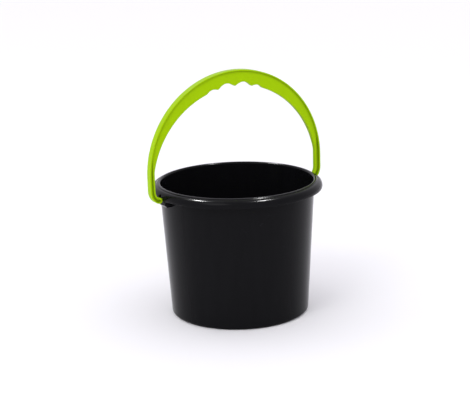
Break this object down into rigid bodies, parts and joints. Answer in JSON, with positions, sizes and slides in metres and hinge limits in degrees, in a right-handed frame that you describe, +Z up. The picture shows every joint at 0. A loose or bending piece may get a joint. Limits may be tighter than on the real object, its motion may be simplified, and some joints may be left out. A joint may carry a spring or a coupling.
{
  "type": "florist bucket",
  "caption": "Round tapered plastic bucket with a rolled rim and an arched swinging handle with finger grips.",
  "frame": {"origin": "middle of the foot ring, on the surface that the bucket stands on", "axes": "+Z up through the bucket's axis and the handle's crown; X along the handle's hinge axis; Y across it"},
  "size_m": [0.2598, 0.23, 0.3303],
  "materials": {
    "black_plastic": "satin moulded",
    "lime_plastic": "satin moulded"
  },
  "bodies": {
    "bucket": {"bucket": "black_plastic"},
    "handle": {"handle": "lime_plastic"}
  },
  "joints": [
    {"name": "handle_swing", "type": "hinge", "parent": "bucket", "child": "handle", "pos_m": [0, 0, 0.1701], "axis": [1, 0, 0], "range_deg": [-134, 134]}
  ]
}
